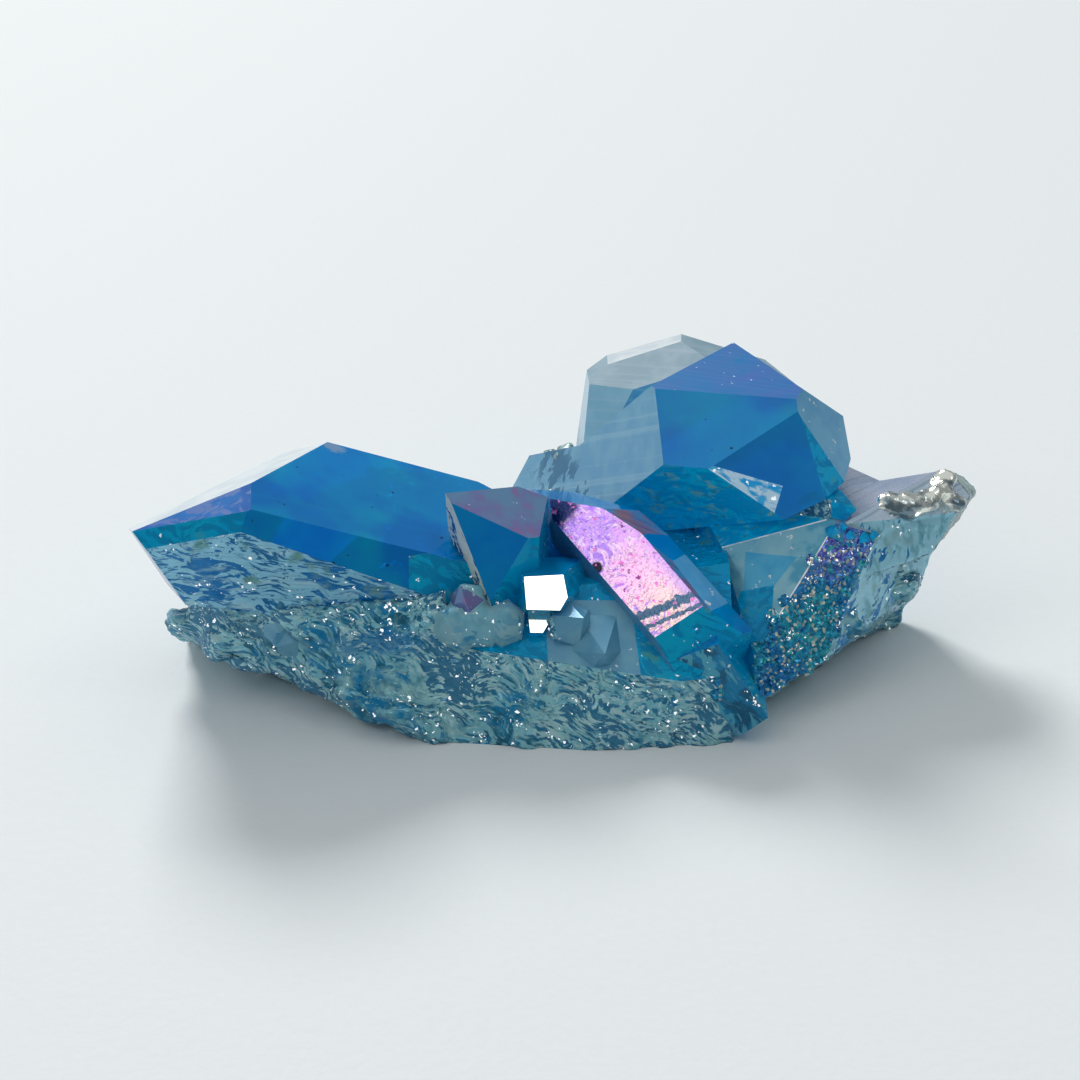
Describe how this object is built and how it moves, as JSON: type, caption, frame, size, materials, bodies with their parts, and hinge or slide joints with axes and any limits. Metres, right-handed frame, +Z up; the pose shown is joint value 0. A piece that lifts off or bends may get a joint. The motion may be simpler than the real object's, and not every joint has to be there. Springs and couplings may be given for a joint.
{
  "type": "aura quartz cluster",
  "caption": "Coated blue quartz cluster: a long pointed crystal, a tall blunt one and smaller ones grown together on a rough broken base, cut flat underneath to rest on a table.",
  "frame": {"origin": "middle of the bounding box, on the table plane", "axes": "+X from the long left crystal towards the right end, +Y to the back, +Z up"},
  "size_m": [0.093, 0.0536, 0.0326],
  "materials": {
    "aura_quartz": "metal-coated clear quartz, glossy"
  },
  "bodies": {
    "root": {"quartz_cluster": "aura_quartz"}
  },
  "joints": []
}
